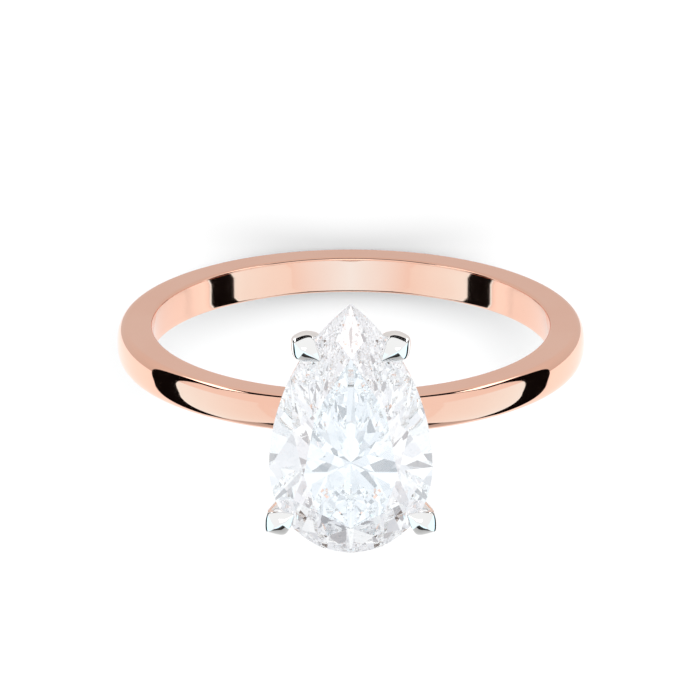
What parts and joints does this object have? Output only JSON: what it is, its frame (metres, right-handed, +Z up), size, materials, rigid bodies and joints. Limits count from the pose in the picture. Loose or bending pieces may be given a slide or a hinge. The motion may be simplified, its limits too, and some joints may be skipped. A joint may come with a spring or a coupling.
{
  "type": "engagement ring",
  "caption": "Solitaire finger ring: a plain domed band with a four-claw head holding a pear-shaped brilliant-cut stone.",
  "frame": {"origin": "centre of the finger hole", "axes": "+Z up through the stone, Y along the finger with +Y on the side of the stone's point, X across the band"},
  "size_m": [0.0202, 0.0112, 0.025],
  "materials": {
    "rose_gold": "mirror polished rose gold",
    "white_gold": "mirror polished white gold",
    "diamond": "polished colourless diamond facets"
  },
  "bodies": {
    "root": {"shank": "rose_gold", "base_rail": "white_gold", "gallery_rail": "white_gold", "claw_point_right": "white_gold", "claw_point_left": "white_gold", "claw_round_right": "white_gold", "claw_round_left": "white_gold", "pear_diamond": "diamond"}
  },
  "joints": []
}
